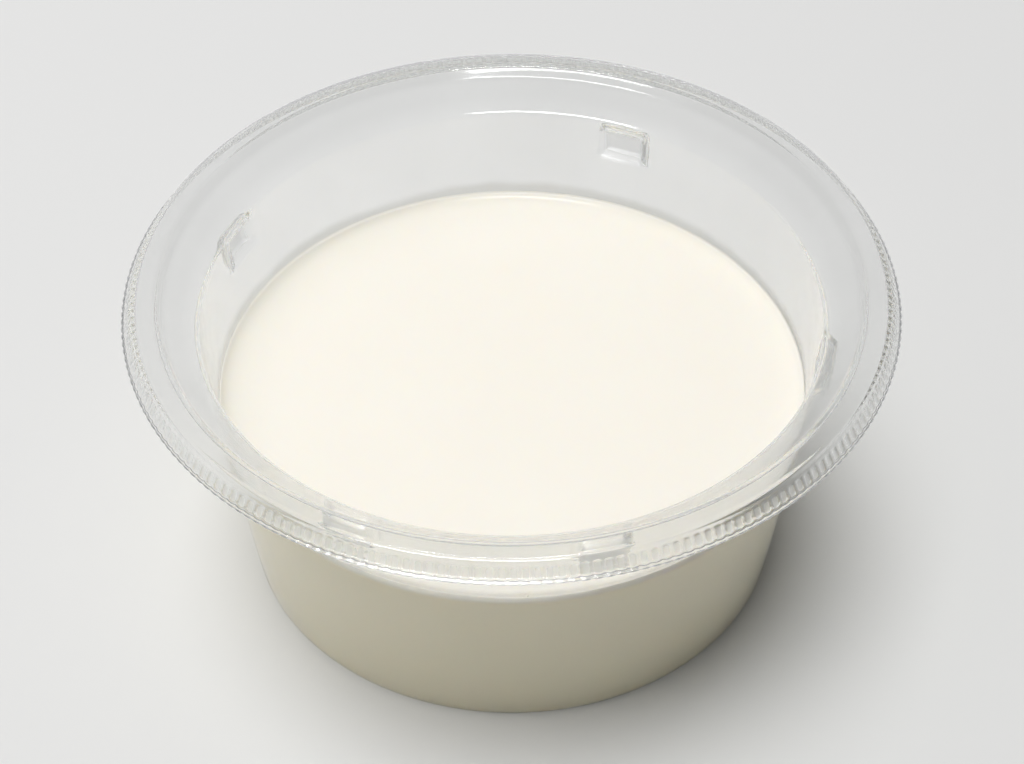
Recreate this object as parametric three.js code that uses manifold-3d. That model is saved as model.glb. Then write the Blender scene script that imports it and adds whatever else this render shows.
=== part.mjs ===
// A clear, thin-walled dessert cup with a knurled rim, a little over half full of set milk pudding.
// Millimetres, +Z up, with the origin at the middle of the cup's underside.

import * as THREE from 'three';
import { mergeVertices } from 'three/addons/utils/BufferGeometryUtils.js';
import Module from 'manifold-3d';

const wasm = await Module();
wasm.setup();

// Cup: the sheet that it is formed from, its tapered wall and its flat base
const sheet = 0.6;
const halfSheet = sheet / 2;
const baseRadius = 33.3;
const wallSlope = 0.14;
const baseBend = 1.2;

// Cup: the funnel above the wall, the flat flange and the knurled skirt that hangs from it
const rimRadius = 47.5;
const cupHeight = 41.8;
const shoulderHeight = 37.4;
const shoulderBend = 0.9;
const flangeInnerRadius = 43.4;
const flangeInnerBend = 1.6;
const flangeOuterRadius = 45.7;
const flangeOuterBend = 0.6;
const skirtFootHeight = 39.0;

// Cup: the ribs of the knurl
const ribCount = 220;
const ribDepth = 0.34;
const ribStandOff = 0.04;
const ribFootHeight = 39.1;
const ribTopHeight = 41.0;

// Cup: stacking lugs, pushed outwards from the wall just below the shoulder
const lugAzimuths = [67, 154.5, 241, 285.5, 349];
const lugFootHeight = 31.8;
const lugTopHeight = 37.1;
const lugRadius = 40.6;
const lugWidth = 7.0;
const lugFootRise = 0.3;
const lugRoofDrop = 0.9;
const lugHollowReach = 3.0;

// Pudding: the level that it is filled to, and how far it stays from the wall
const puddingLevel = 24.5;
const puddingGap = 0.3;
const puddingEdgeBend = 0.5;

// How finely round forms are divided
const turnSegments = 96;
const bendSteps = 3;

function wallMiddle(height) {
  return baseRadius + wallSlope * height;
}

function leftOf(heading) {
  return new THREE.Vector2(-Math.sin(heading), Math.cos(heading));
}

// Walks along straight runs whose corners are rounded by arcs.
// Gives a point and a heading at each end of a run and along each arc.
function roundedPath(corners) {
  const last = corners.length - 1;
  const headings = [];
  for (let i = 0; i < last; i += 1) {
    headings.push(Math.atan2(corners[i + 1].z - corners[i].z, corners[i + 1].r - corners[i].r));
  }
  const stations = [{ point: new THREE.Vector2(corners[0].r, corners[0].z), heading: headings[0] }];
  for (let i = 1; i < last; i += 1) {
    const turn = headings[i] - headings[i - 1];
    const side = Math.sign(turn);
    const reach = corners[i].bend * Math.tan(Math.abs(turn) / 2);
    const start = new THREE.Vector2(
      corners[i].r - reach * Math.cos(headings[i - 1]),
      corners[i].z - reach * Math.sin(headings[i - 1]),
    );
    const centre = start.addScaledVector(leftOf(headings[i - 1]), side * corners[i].bend);
    for (let step = 0; step <= bendSteps; step += 1) {
      const heading = headings[i - 1] + (turn * step) / bendSteps;
      const point = centre.clone().addScaledVector(leftOf(heading), -side * corners[i].bend);
      stations.push({ point, heading });
    }
  }
  stations.push({ point: new THREE.Vector2(corners[last].r, corners[last].z), heading: headings[last - 1] });
  return stations;
}

// Turns a profile of radius and height about the Z axis.
function turned(profile) {
  return new THREE.LatheGeometry(profile, turnSegments).rotateX(Math.PI / 2);
}

function solidOf(geometry) {
  const bare = geometry.clone();
  bare.deleteAttribute('normal');
  bare.deleteAttribute('uv');
  const merged = mergeVertices(bare);
  const corners = merged.index.array;
  const triangles = [];
  for (let i = 0; i < corners.length; i += 3) {
    const [a, b, c] = corners.slice(i, i + 3);
    if (a !== b && b !== c && c !== a) {
      triangles.push(a, b, c);
    }
  }
  return new wasm.Manifold(new wasm.Mesh({
    numProp: 3,
    vertProperties: new Float32Array(merged.attributes.position.array),
    triVerts: new Uint32Array(triangles),
  }));
}

function geometryOf(solid) {
  const mesh = solid.getMesh();
  const geometry = new THREE.BufferGeometry();
  geometry.setAttribute('position', new THREE.BufferAttribute(new Float32Array(mesh.vertProperties), 3));
  geometry.setIndex(new THREE.BufferAttribute(new Uint32Array(mesh.triVerts), 1));
  geometry.computeVertexNormals();
  return geometry;
}

const flangeMiddle = cupHeight - halfSheet;
const skirtFootRadius = rimRadius - ribDepth - ribStandOff - halfSheet;
const skirtLean = (skirtFootRadius - flangeOuterRadius) / (flangeMiddle - skirtFootHeight);

// The shell: one sheet of even thickness, from the middle of the base out to the foot of the skirt.
function shellGeometry() {
  const middle = roundedPath([
    { r: 0, z: halfSheet },
    { r: wallMiddle(halfSheet), z: halfSheet, bend: baseBend },
    { r: wallMiddle(shoulderHeight), z: shoulderHeight, bend: shoulderBend },
    { r: flangeInnerRadius, z: flangeMiddle, bend: flangeInnerBend },
    { r: flangeOuterRadius, z: flangeMiddle, bend: flangeOuterBend },
    { r: skirtFootRadius, z: skirtFootHeight },
  ]);
  const shifted = (distance) => middle.map(
    ({ point, heading }) => point.clone().addScaledVector(leftOf(heading), distance),
  );
  return turned([...shifted(-halfSheet), ...shifted(halfSheet).reverse()]);
}

// The knurl: a ring with a toothed outline, leaning in with the skirt as it rises.
function knurlGeometry() {
  const skirtOuter = skirtFootRadius + halfSheet * Math.hypot(1, skirtLean)
    - skirtLean * (ribFootHeight - skirtFootHeight);
  const root = skirtOuter + ribStandOff;
  const toothed = [];
  for (let i = 0; i < 2 * ribCount; i += 1) {
    const angle = (Math.PI * i) / ribCount;
    const radius = i % 2 === 0 ? root + ribDepth : root;
    toothed.push(new THREE.Vector2(radius * Math.cos(angle), radius * Math.sin(angle)));
  }
  const ring = new THREE.Shape(toothed);
  const inside = new THREE.Path();
  inside.absarc(0, 0, skirtOuter - halfSheet, 0, 2 * Math.PI, true);
  ring.holes.push(inside);
  const geometry = new THREE.ExtrudeGeometry(ring, {
    depth: ribTopHeight - ribFootHeight,
    bevelEnabled: false,
    curveSegments: turnSegments,
  });
  const position = geometry.attributes.position;
  for (let i = 0; i < position.count; i += 1) {
    const radius = Math.hypot(position.getX(i), position.getY(i));
    const factor = 1 - (skirtLean * position.getZ(i)) / radius;
    position.setXY(i, position.getX(i) * factor, position.getY(i) * factor);
  }
  return geometry.translate(0, 0, ribFootHeight);
}

// A block with the given upright section, centred on the azimuth and as wide as given round the cup.
function lugBlock(section, width, azimuth) {
  const shape = new THREE.Shape(section.map(([r, z]) => new THREE.Vector2(r, z)));
  return new THREE.ExtrudeGeometry(shape, { depth: width, bevelEnabled: false })
    .rotateX(Math.PI / 2)
    .translate(0, width / 2, 0)
    .rotateZ(THREE.MathUtils.degToRad(azimuth));
}

function lugOuter(azimuth) {
  return lugBlock([
    [wallMiddle(lugFootHeight), lugFootHeight],
    [lugRadius, lugFootHeight + lugFootRise],
    [lugRadius, lugTopHeight - lugRoofDrop],
    [wallMiddle(lugTopHeight), lugTopHeight],
  ], lugWidth, azimuth);
}

function lugHollow(azimuth) {
  const foot = lugFootHeight + sheet;
  const top = lugTopHeight - sheet;
  const back = lugRadius - sheet;
  return lugBlock([
    [wallMiddle(foot) - lugHollowReach, foot],
    [wallMiddle(foot), foot],
    [back, foot + lugFootRise],
    [back, top - lugRoofDrop],
    [wallMiddle(top), top],
    [wallMiddle(top) - lugHollowReach, top],
  ], lugWidth - 2 * sheet, azimuth);
}

function cupGeometry() {
  let cup = solidOf(shellGeometry()).add(solidOf(knurlGeometry()));
  for (const azimuth of lugAzimuths) {
    cup = cup.add(solidOf(lugOuter(azimuth))).subtract(solidOf(lugHollow(azimuth)));
  }
  return geometryOf(cup);
}

// The pudding fills the cup from just above its base to a flat top, with a small round at the edge.
function puddingGeometry() {
  const inset = halfSheet + puddingGap;
  const floor = sheet + puddingGap;
  const outline = roundedPath([
    { r: 0, z: floor },
    { r: wallMiddle(floor) - inset, z: floor, bend: baseBend },
    { r: wallMiddle(puddingLevel) - inset, z: puddingLevel, bend: puddingEdgeBend },
    { r: 0, z: puddingLevel },
  ]);
  return turned(outline.map(({ point }) => point));
}

const clearPlastic = new THREE.MeshStandardMaterial({
  color: 0xdedfdc,
  roughness: 0.12,
  metalness: 0,
  transparent: true,
  opacity: 0.35,
});
const milkPudding = new THREE.MeshStandardMaterial({ color: 0xf8f4e7, roughness: 0.35, metalness: 0 });

const cup = new THREE.Mesh(cupGeometry(), clearPlastic);
cup.name = 'cup';

const pudding = new THREE.Mesh(geometryOf(solidOf(puddingGeometry())), milkPudding);
pudding.name = 'pudding';

const puddingCup = new THREE.Group();
puddingCup.add(cup, pudding);

export default puddingCup;
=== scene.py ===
import math

import bpy
import numpy as np
from mathutils import Matrix, Vector


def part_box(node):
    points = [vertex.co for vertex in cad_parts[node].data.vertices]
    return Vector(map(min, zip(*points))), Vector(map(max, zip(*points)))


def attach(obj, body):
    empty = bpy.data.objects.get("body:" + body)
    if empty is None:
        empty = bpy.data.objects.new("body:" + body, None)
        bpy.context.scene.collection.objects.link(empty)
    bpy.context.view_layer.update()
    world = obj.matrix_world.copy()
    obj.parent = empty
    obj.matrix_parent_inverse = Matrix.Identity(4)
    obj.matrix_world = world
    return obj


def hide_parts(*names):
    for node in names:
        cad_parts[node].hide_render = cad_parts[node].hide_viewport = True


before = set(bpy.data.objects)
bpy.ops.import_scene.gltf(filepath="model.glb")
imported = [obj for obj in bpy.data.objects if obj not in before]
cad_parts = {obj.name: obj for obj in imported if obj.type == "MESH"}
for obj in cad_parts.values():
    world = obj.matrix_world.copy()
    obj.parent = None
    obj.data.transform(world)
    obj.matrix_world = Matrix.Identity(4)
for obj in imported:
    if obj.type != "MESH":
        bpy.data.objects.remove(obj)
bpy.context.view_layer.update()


# Cup: one clear sheet of thin plastic, heated and drawn down into a mould. It has a flat base, a tapered
# wall with stacking lugs pushed outwards under a shoulder, a short funnel, and a flat flange with a
# knurled skirt hanging from it. It stands free on its base and carries everything else.

MM = 0.001
_, cup_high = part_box("cup")
rim_radius = cup_high.x
cup_height = cup_high.z

sheet = 0.6 * MM
half_sheet = sheet / 2
base_radius = 33.3 * MM
base_ring_radius = 4.0 * MM
base_bend = 1.2 * MM
wall_slope = 0.14
shoulder_height = 37.4 * MM
shoulder_bend = 1.2 * MM
flange_middle = cup_height - half_sheet
flange_inner_radius = 43.3 * MM
flange_inner_bend = 0.7 * MM
step_width = 0.8 * MM
step_height = 1.15 * MM
step_bend = 0.9 * MM
flange_outer_radius = 45.7 * MM
flange_outer_bend = 0.6 * MM
skirt_foot_height = 39.3 * MM
skirt_foot_bend = 0.7 * MM
lip_width = 0.35 * MM
lip_bevel_drop = 0.28 * MM

rib_count = 220
rib_depth = 0.13 * MM
rib_foot_height = 39.1 * MM
rib_top_height = 41.15 * MM
rib_foot_round = 0.3 * MM
rib_top_fade = 0.4 * MM
lip_top_height = 39.55 * MM
lip_fade = 0.3 * MM

lug_azimuths = np.radians([67, 154.5, 241, 285.5, 349])
lug_foot_height = 31.8 * MM
lug_top_height = 37.2 * MM
lug_reach = 1.6 * MM
lug_width = 7.0 * MM
lug_side_slope = 0.8 * MM
lug_foot_slope = 0.45 * MM
lug_roof_slope = 1.6 * MM

# How finely the sheet is divided: close rows follow the foot of the lugs
close_rows_low = lug_foot_height - 1.0 * MM
close_rows_high = lug_foot_height + 1.5 * MM
cup_bend_rows = 7
skirt_rows = 10
lip_rows = 1
plain_columns = 2 * rib_count
knurl_columns = 2 * plain_columns


def wall_middle(height):
    """Radius of the wall's middle surface: it grows in proportion to height."""
    return base_radius + wall_slope * height


def left_of(heading):
    """Unit vectors a quarter turn to the left of the headings, as rows of radius and height."""
    return np.stack([-np.sin(heading), np.cos(heading)], -1)


def rounded_path(corners, bend_rows):
    """Points and headings along straight runs whose corners are rounded by arcs.

    A corner is (radius, height, bend radius, rows in the run that leads to it). Each arc is tangent to
    both runs, and its heading turns evenly from one to the other.
    """
    place = np.array([corner[:2] for corner in corners])
    run = np.diff(place, axis=0)
    heading = np.arctan2(run[:, 1], run[:, 0])
    points, headings = [], []
    start = place[0]
    for i in range(1, len(corners)):
        bend = corners[i][2]
        turn = heading[i] - heading[i - 1] if bend else 0.0
        along = np.array([np.cos(heading[i - 1]), np.sin(heading[i - 1])])
        end = place[i] - along * bend * np.tan(abs(turn) / 2)
        share = np.linspace(0, 1, corners[i][3], endpoint=False)[:, None]
        points.append(start + (end - start) * share)
        headings.append(np.full(len(share), heading[i - 1]))
        inward = np.sign(turn) * bend
        arc = heading[i - 1] + turn * np.linspace(0, 1, bend_rows if bend else 1)
        bow = end + left_of(heading[i - 1]) * inward - left_of(arc) * inward
        keep = len(arc) if i == len(run) else -1
        points.append(bow[:keep])
        headings.append(arc[:keep])
        start = bow[-1]
    return np.concatenate(points), np.concatenate(headings)


def smooth_step(low, high, value):
    """0 below low, 1 above high, and an S curve of the third degree between them."""
    share = np.clip((value - low) / (high - low), 0, 1)
    return share * share * (3 - 2 * share)


def lug_bulge(azimuth, radius, height, margin):
    """How far the sheet is pushed out: the lug's reach, times an S curve at its foot, roof and sides.

    The margin makes the lug smaller all round, so that the hollow inside keeps the sheet's thickness.
    """
    rise = smooth_step(0, lug_foot_slope, height - lug_foot_height - margin)
    roof = smooth_step(0, lug_roof_slope, lug_top_height - margin - height)
    bulge = 0
    for middle in lug_azimuths:
        away = np.abs((azimuth - middle + np.pi) % (2 * np.pi) - np.pi) * radius
        bulge = bulge + smooth_step(0, lug_side_slope, lug_width / 2 - margin - away)
    return lug_reach * rise * roof * bulge


def rib_wave(azimuth):
    """Round ribs with a sharp groove between them: a cosine round the rim, without its sign."""
    return np.abs(np.cos(azimuth * rib_count / 2))


def rib_band(height):
    """1 where the ribs are whole: an S curve below their top, times an S curve above their foot."""
    growth = smooth_step(0, rib_top_fade, rib_top_height - height)
    return growth * smooth_step(0, rib_foot_round, height - rib_foot_height + rib_foot_round / 2)


def rings(profile, columns):
    """Azimuths, radii and heights of a profile turned about the axis, as grids of rows by columns."""
    azimuth = np.arange(columns) * 2 * np.pi / columns
    return np.broadcast_arrays(azimuth[None, :], profile[:, :1], profile[:, 1:])


def turned_points(azimuth, radius, height):
    """Grid of places x, y, z from the azimuth, radius and height."""
    return np.stack([radius * np.cos(azimuth), radius * np.sin(azimuth), height], -1)


def grid_faces(rows, columns, first):
    """Quads between neighbouring rows of a grid that closes on itself across its columns."""
    index = first + np.arange(rows * columns).reshape(rows, columns)
    beside = np.roll(index, -1, axis=1)
    return np.stack([index[:-1], beside[:-1], beside[1:], index[1:]], -1).reshape(-1, 4)


def stitch_faces(plain, fine, plain_first):
    """Triangles between a ring and one with twice as many points, three for each point of the plain one."""
    beside = np.roll(plain, -1)
    even, odd, after = fine[0::2], fine[1::2], np.roll(fine[0::2], -1)
    faces = np.concatenate([
        np.stack([plain, odd, even], -1),
        np.stack([plain, beside, odd], -1),
        np.stack([beside, after, odd], -1),
    ])
    return faces if plain_first else faces[:, ::-1]


def fan_faces(pole, ring, upwards):
    """Triangles from a pole on the axis to the ring round it."""
    beside = np.roll(ring, -1)
    faces = np.stack([np.full(len(ring), pole), beside, ring], -1)
    return faces[:, ::-1] if upwards else faces


def mesh_piece(name, points, face_lists, material):
    """A smooth mesh object at the origin with the given points and faces."""
    mesh = bpy.data.meshes.new(name)
    faces = [face for faces in face_lists for face in faces.tolist()]
    mesh.from_pydata(points.tolist(), [], faces)
    mesh.shade_smooth()
    mesh.materials.append(material)
    piece = bpy.data.objects.new(name, mesh)
    bpy.context.scene.collection.objects.link(piece)
    return piece


# The middle of the sheet, from the base out to the lip at the skirt's foot
lip_radius = rim_radius - rib_depth - half_sheet
middle, heading = rounded_path([
    (base_ring_radius, half_sheet, 0, 0),
    (wall_middle(half_sheet), half_sheet, base_bend, 3),
    (wall_middle(close_rows_low), close_rows_low, 0, 5),
    (wall_middle(close_rows_high), close_rows_high, 0, 16),
    (wall_middle(shoulder_height), shoulder_height, shoulder_bend, 14),
    (flange_inner_radius - step_width, flange_middle - step_height, step_bend, 4),
    (flange_inner_radius, flange_middle, flange_inner_bend, 2),
    (flange_outer_radius, flange_middle, flange_outer_bend, 2),
    (lip_radius - lip_width, skirt_foot_height, skirt_foot_bend, skirt_rows),
    (lip_radius, skirt_foot_height, 0, lip_rows),
], cup_bend_rows)
skirt_start = len(middle) - skirt_rows - cup_bend_rows - lip_rows
under_profile = middle - left_of(heading) * half_sheet
face_profile = middle + left_of(heading) * half_sheet

# The lip is round below and bevelled above. Rows near both ends of the bevel keep it flat.
lip_round = np.radians([-60, -30, 0])
lip_underside = middle[-1] + half_sheet * np.stack([np.cos(lip_round), np.sin(lip_round)], -1)
lip_edge = middle[-1] + np.array([half_sheet, half_sheet - lip_bevel_drop])
bevel_shares = np.array([[0], [0.1], [0.9]])
lip_bevel = lip_edge + (face_profile[-1] - lip_edge) * bevel_shares
knurl_profile = np.concatenate([lip_underside, lip_bevel, face_profile[:skirt_start - 1:-1]])

# The underside, the knurl with the lip, and the face inside the cup, each a grid of rows by columns
azimuth, radius, height = rings(under_profile, plain_columns)
under_bulge = lug_bulge(azimuth, radius, height, 0)
under = turned_points(azimuth, radius + under_bulge, height)
azimuth, radius, height = rings(face_profile[skirt_start - 1::-1], plain_columns)
face_bulge = lug_bulge(azimuth, radius, height, sheet)
face = turned_points(azimuth, radius + face_bulge, height)
azimuth, radius, height = rings(knurl_profile, knurl_columns)
wave = rib_wave(azimuth)
knurl = turned_points(azimuth, radius + rib_depth * wave * rib_band(height), height)
frosted = rib_band(height) * smooth_step(lip_top_height, lip_top_height + lip_fade, height)

poles = np.array([[0, 0, 0], [0, 0, sheet]])
cup_points = np.concatenate([grid.reshape(-1, 3) for grid in (under, knurl, face, poles)])
knurl_first = under.shape[0] * plain_columns
face_first = knurl_first + knurl.shape[0] * knurl_columns
pole_first = face_first + face.shape[0] * plain_columns
plain_ring = np.arange(plain_columns)
knurl_ring = np.arange(knurl_columns)
cup_faces = [
    grid_faces(under.shape[0], plain_columns, 0),
    grid_faces(knurl.shape[0], knurl_columns, knurl_first),
    grid_faces(face.shape[0], plain_columns, face_first),
    stitch_faces(knurl_first - plain_columns + plain_ring, knurl_first + knurl_ring, True),
    stitch_faces(face_first + plain_ring, face_first - knurl_columns + knurl_ring, False),
    fan_faces(pole_first, plain_ring, False),
    fan_faces(pole_first + 1, pole_first - plain_columns + plain_ring, True),
]


class Shade:
    """A node's output in a material. Python's operators on it add Math nodes."""

    def __init__(self, tree, socket=None):
        self.tree = tree
        self.socket = socket

    def add(self, kind, settings=None, output=0, **sockets):
        """Adds a node of a kind, with its settings first, then the values or links of its sockets.

        A socket goes by its name, with _ for each space, or by the letter i and its number.
        """
        node = self.tree.nodes.new("ShaderNode" + kind)
        for name, value in (settings or {}).items():
            setattr(node, name, value)
        for name, value in sockets.items():
            key = int(name[1:]) if name[1:].isdigit() else name.replace("_", " ")
            if isinstance(value, Shade):
                self.tree.links.new(value.socket, node.inputs[key])
            else:
                node.inputs[key].default_value = value
        return Shade(self.tree, node.outputs[output])

    def maths(self, operation, a, b):
        return self.add("Math", {"operation": operation}, i0=a, i1=b)

    def noise(self, place, scale, detail):
        return self.add("TexNoise", Vector=place, Scale=scale, Detail=detail)

    def clamped(self):
        """This value, kept between 0 and 1."""
        return self.add("Math", {"operation": "ADD", "use_clamp": True}, i0=self, i1=0.0)

    def mix(self, low, high):
        """The colour low where this value is 0, and high where it is 1."""
        return self.add("Mix", {"data_type": "RGBA"}, output=2, i0=self, i6=low, i7=high)

    def __abs__(self):
        return self.maths("ABSOLUTE", self, 0.0)

    def __add__(self, other):
        return self.maths("ADD", self, other)

    __radd__ = __add__

    def __mul__(self, other):
        return self.maths("MULTIPLY", self, other)

    __rmul__ = __mul__

    def __sub__(self, other):
        return self.maths("SUBTRACT", self, other)

    def __rsub__(self, other):
        return self.maths("SUBTRACT", other, self)


def new_material(name):
    """An empty node material, and a Shade that adds nodes to it."""
    material = bpy.data.materials.new(name)
    material.use_nodes = True
    material.node_tree.nodes.clear()
    return material, Shade(material.node_tree)


def show(shade):
    """Puts a shader on the material's output."""
    output = shade.tree.nodes.new("ShaderNodeOutputMaterial")
    shade.tree.links.new(shade.socket, output.inputs["Surface"])


cloudy_tint = (0.925, 0.93, 0.925, 1)
clear_tint = (0.98, 0.985, 0.98, 1)
grey_tint = (0.80, 0.805, 0.80, 1)
# The groove tint is painted shade in the grooves between the ribs
groove_shade_tint = (0.81, 0.815, 0.81, 1)
wall_band_tint = (0.79, 0.79, 0.765, 1)
film_tint = (0.955, 0.96, 0.955, 1)
plastic_ior = 1.5
step_radius = flange_inner_radius - step_width / 2
shoulder_radius = wall_middle(shoulder_height)
rim_fade = 2.0 * MM
wall_band_low = 24.3 * MM
wall_band_high = 27.1 * MM
wall_band_fade = 1.0 * MM
wall_band_unevenness = 1.4 * MM
ripple_depth = 0.05 * MM
most_mirrorings = 1.5

clear_plastic, shade = new_material("clear_plastic")
place = shade.add("TexCoord", output="Object")
haze = shade.noise(place, scale=420.0, detail=3.0)
grain = shade.noise(place, scale=2600.0, detail=2.0)
ripple = shade.add("Bump", Strength=0.12, Distance=ripple_depth, Height=haze * 0.7 + grain * 0.3)
lug_frost = shade.add("Attribute", {"attribute_name": "lug_frost"}, output="Fac")
rib_frost = shade.add("Attribute", {"attribute_name": "rib_frost"}, output="Fac")
groove = shade.add("Attribute", {"attribute_name": "rib_groove_shade"}, output="Fac")

# The sheet is greyer towards the rim, where it was drawn out least, and a little on the lugs. The ring at
# the step
# by the flange is greyest: painted shade, a dark line where the bend dims the view through the sheet
outwards = shade.add("VectorMath", {"operation": "MULTIPLY"}, i0=place, i1=(1, 1, 0))
axis_distance = shade.add("VectorMath", {"operation": "LENGTH"}, output="Value", i0=outwards)
step_painted_shade = (1 - abs(axis_distance - step_radius) * (1 / step_width)).clamped()
thick_rim = ((axis_distance - shoulder_radius) * (1 / rim_fade)).clamped()
flow = (shade.noise(place, scale=75.0, detail=4.0) * 2 - 0.5).clamped()
flow_tint = flow.mix(cloudy_tint, clear_tint)
sheet_tint = (thick_rim * 0.35 + step_painted_shade * 0.5 + lug_frost * 0.3).mix(flow_tint, grey_tint)
# Painted shade: the grooves between the ribs are tinted a darker grey
knurl_tint = groove.mix(sheet_tint, groove_shade_tint)

# A greyer, hazier band on the wall just above the pudding, with an uneven upper edge
height_up = shade.add("SeparateXYZ", output=2, Vector=place)
wall_band_noise = shade.noise(place, scale=130.0, detail=4.0)
wall_band_edge = wall_band_noise * wall_band_unevenness + (wall_band_high - wall_band_unevenness / 2)
wall_band_foot = ((height_up - wall_band_low) * (1 / sheet)).clamped()
wall_band = wall_band_foot * ((wall_band_edge - height_up) * (1 / wall_band_fade)).clamped()
plastic = shade.add(
    "BsdfPrincipled",
    Base_Color=wall_band.mix(knurl_tint, wall_band_tint),
    Roughness=haze * 0.12 + wall_band * 0.15 + lug_frost * 0.25 + rib_frost * 0.3 + 0.03,
    IOR=plastic_ior,
    Transmission_Weight=1.0,
    Normal=ripple,
)

# Light on its way to and from dull surfaces passes straight through, and so does light trapped in the sheet
film = shade.add("BsdfTransparent", Color=film_tint)
shadow_ray = shade.add("LightPath", output="Is Shadow Ray")
diffuse_ray = shade.add("LightPath", output="Is Diffuse Ray")
mirrorings = shade.add("LightPath", output="Glossy Depth")
trapped = shade.maths("GREATER_THAN", mirrorings, most_mirrorings)
passes_straight = shade.maths("MAXIMUM", shade.maths("MAXIMUM", shadow_ray, diffuse_ray), trapped)
show(shade.add("MixShader", Fac=passes_straight, i1=plastic, i2=film))


def store(piece, name, firsts, parts):
    """Stores values for runs of the piece's points that begin at the firsts, and 0 for all its others."""
    spread = np.zeros(len(piece.data.vertices))
    for first, part in zip(firsts, parts):
        spread[first:first + part.size] = part.ravel()
    piece.data.attributes.new(name, "FLOAT", "POINT").data.foreach_set("value", spread)


cup = mesh_piece("cup_shell", cup_points, cup_faces, clear_plastic)
store(cup, "lug_frost", [0, face_first], [under_bulge / lug_reach, face_bulge / lug_reach])
store(cup, "rib_frost", [knurl_first], [wave * frosted])
# Painted shade in the rib grooves, stored for the tint
store(cup, "rib_groove_shade", [knurl_first], [(1 - wave) * frosted])
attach(cup, "root")
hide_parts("cup")


# Pudding: sweetened milk set with gelatine, poured into the cup while warm, so it takes the shape of the
# cup's inside and has a level top. It clings a little way up the wall. Its outside reaches just into the
# clear sheet, so that no air shows between them.

_, pudding_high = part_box("pudding")
pudding_level = pudding_high.z
wetting = 0.15 * MM
cling_height = 1.1 * MM
cling_fall = 1.0 * MM
cling_reach = 4.4 * MM
pudding_ring_radius = 2.0 * MM
pudding_bend_rows = 8
pudding_columns = 360

pudding_foot = sheet - wetting
wall_offset = half_sheet - wetting
cling_top = pudding_level + cling_height
sides, _ = rounded_path([
    (pudding_ring_radius, pudding_foot, 0, 0),
    (wall_middle(half_sheet) - wall_offset, pudding_foot, base_bend, 6),
    (wall_middle(cling_top) - wall_offset, cling_top, 0, 14),
], pudding_bend_rows)
edge_radius = sides[-1, 0]

# In from the wall the top sinks to its level: what clings shrinks e times over each length of the fall
from_wall = np.concatenate([
    np.linspace(0, cling_reach, 14)[1:],
    np.linspace(cling_reach, edge_radius - pudding_ring_radius, 26)[1:],
])
cling = cling_height * np.exp(-from_wall / cling_fall)
top = np.stack([edge_radius - from_wall, pudding_level + cling], -1)
azimuth, radius, height = rings(np.concatenate([sides, top]), pudding_columns)
body = turned_points(azimuth, radius, height)
poles = np.array([[0, 0, pudding_foot], [0, 0, pudding_level]])
pudding_points = np.concatenate([body.reshape(-1, 3), poles])
pole_first = body.shape[0] * pudding_columns
ring = np.arange(pudding_columns)
pudding_faces = [
    grid_faces(body.shape[0], pudding_columns, 0),
    fan_faces(pole_first, ring, False),
    fan_faces(pole_first + 1, pole_first - pudding_columns + ring, True),
]

# The side cream is painted shade: the warmer tone the sides take in shade
shaded_side_cream = (0.935, 0.855, 0.65, 1)
deep_cream = (0.925, 0.875, 0.785, 1)
pale_cream = (0.945, 0.905, 0.82, 1)
skin_depth = 0.08 * MM
glow_depth = 0.8 * MM
pudding_ior = 1.38

milk_pudding, shade = new_material("milk_pudding")
place = shade.add("TexCoord", output="Object")
clouds = shade.noise(place, scale=60.0, detail=3.0)
pores = shade.noise(place, scale=900.0, detail=2.0)
skin = shade.add("Bump", Strength=0.25, Distance=skin_depth, Height=clouds * 0.8 + pores * 0.2)
facing = shade.add("TexCoord", output="Normal")
# Painted shade: the sides and the steep cling get a warmer, yellower cream than the top
faces_up = (shade.add("SeparateXYZ", output=2, Vector=facing) * 2).clamped()
show(shade.add(
    "BsdfPrincipled",
    Base_Color=faces_up.mix(shaded_side_cream, clouds.mix(deep_cream, pale_cream)),
    Roughness=clouds * 0.1 + 0.17,
    IOR=pudding_ior,
    Subsurface_Weight=0.35,
    Subsurface_Radius=(1.0, 0.85, 0.6),
    Subsurface_Scale=glow_depth,
    Normal=skin,
))

pudding = mesh_piece("pudding_fill", pudding_points, pudding_faces, milk_pudding)
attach(pudding, "root")
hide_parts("pudding")


# Studio: a wide pale floor, which far out glows in the colour of the room, painted light so that no horizon
# shows.
# One broad lamp overhead lights everything. A panel in front, a narrow strip above and the room itself add
# only reflections.

room_colour = (0.62, 0.62, 0.63, 1)
floor_colour = (0.74, 0.74, 0.735, 1)
unlit = (0, 0, 0, 1)
floor_reach = 3.0
lit_reach = 0.35
glow_reach = 1.7

floor_mesh = bpy.data.meshes.new("floor")
floor_corners = [(x * floor_reach, y * floor_reach, 0) for x, y in ((-1, -1), (1, -1), (1, 1), (-1, 1))]
floor_mesh.from_pydata(floor_corners, [], [(0, 1, 2, 3)])
floor_paint, shade = new_material("floor_paint")
place = shade.add("TexCoord", output="Object")
far_out = shade.add("VectorMath", {"operation": "LENGTH"}, output="Value", i0=place)
# Painted light: far out the floor glows with the room's colour
glow = ((far_out - lit_reach) * (1 / (glow_reach - lit_reach))).clamped()
show(shade.add(
    "BsdfPrincipled",
    Base_Color=floor_colour,
    Specular_IOR_Level=0.0,
    Emission_Color=glow.mix(unlit, room_colour),
    Emission_Strength=1.0,
))
floor_mesh.materials.append(floor_paint)
floor = bpy.data.objects.new("floor", floor_mesh)
bpy.context.scene.collection.objects.link(floor)


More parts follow.
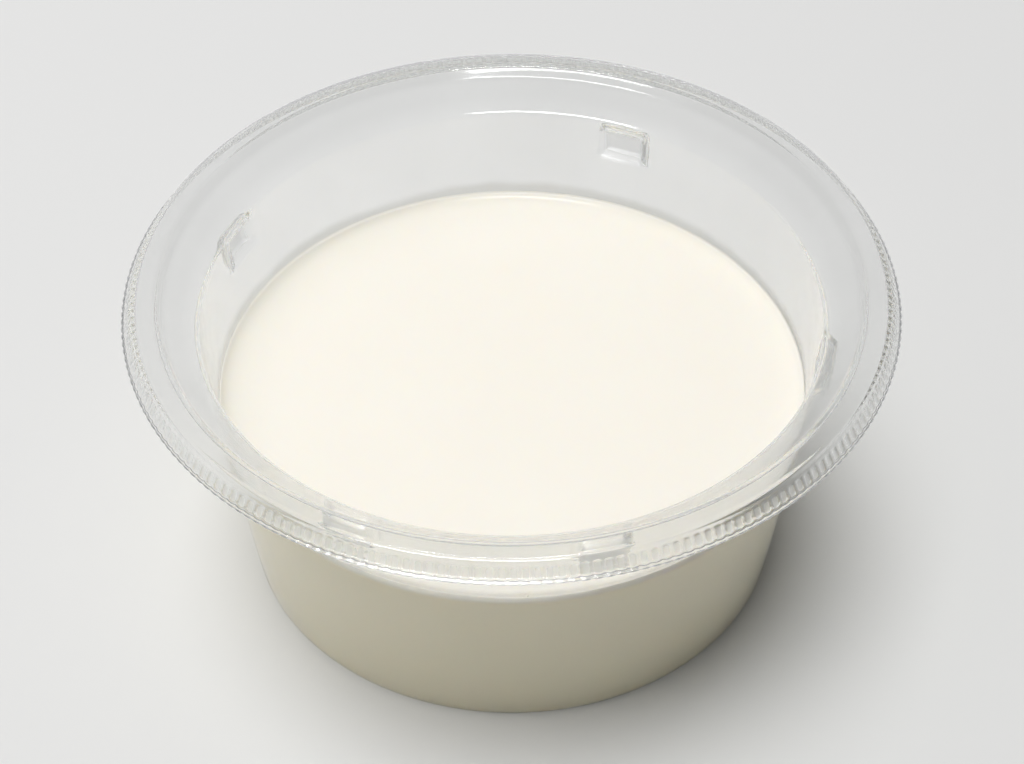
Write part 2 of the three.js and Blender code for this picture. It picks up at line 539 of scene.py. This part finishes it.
def soft_box(name, place, aim, width, depth, watts):
    """A rectangular lamp at a place, turned to face the aim."""
    lamp = bpy.data.lights.new(name, "AREA")
    lamp.shape = "RECTANGLE"
    lamp.size = width
    lamp.size_y = depth
    lamp.energy = watts
    holder = bpy.data.objects.new(name, lamp)
    holder.location = place
    holder.rotation_euler = (Vector(aim) - Vector(place)).to_track_quat("-Z", "Y").to_euler()
    bpy.context.scene.collection.objects.link(holder)
    return holder


overhead_lamp = soft_box(
    "overhead_lamp", place=(-0.26, 0.08, 1.15), aim=(0, 0, 0.03), width=1.3, depth=1.1, watts=19.3
)
overhead_lamp.visible_glossy = False
overhead_lamp.visible_transmission = False
front_panel = soft_box(
    "front_panel", place=(-0.238, -0.777, 0.825), aim=(0, 0, 0.04), width=1.0, depth=0.24, watts=10.0
)
front_panel.visible_diffuse = False
strip_lamp = soft_box(
    "strip_lamp", place=(-0.05, -0.12, 1.0), aim=(0, 0.03, 0.03), width=0.46, depth=0.05, watts=3.0
)
strip_lamp.visible_diffuse = False

room = bpy.data.worlds.new("room")
room.use_nodes = True
room.node_tree.nodes["Background"].inputs["Color"].default_value = room_colour
bpy.context.scene.world = room
room.cycles_visibility.diffuse = False
bpy.context.scene.view_settings.view_transform = "Standard"


# Camera: a long lens that looks down at the cup from in front, with a very slight roll. Its height is an
# angle above the table, as seen from the middle of the rim's foot.

image_width = 1024
focal_pixels = 2800
sensor_width = 36.0
rim_foot_height = 39.0 * MM
nearest_seen = 10.0 * MM
camera_distance = 7.209 * rim_radius
camera_height = math.radians(41.929)
camera_pitch = math.radians(43.638)
camera_roll = math.radians(-0.475)

lens = bpy.data.cameras.new("camera")
lens.sensor_width = sensor_width
lens.lens = focal_pixels / image_width * sensor_width
lens.clip_start = nearest_seen
camera = bpy.data.objects.new("camera", lens)
stand = Vector((0, -math.cos(camera_height), math.sin(camera_height))) * camera_distance
turn = Matrix.Rotation(math.pi / 2 - camera_pitch, 4, "X") @ Matrix.Rotation(camera_roll, 4, "Z")
camera.matrix_world = Matrix.Translation(stand + Vector((0, 0, rim_foot_height))) @ turn
bpy.context.scene.collection.objects.link(camera)
bpy.context.scene.camera = camera
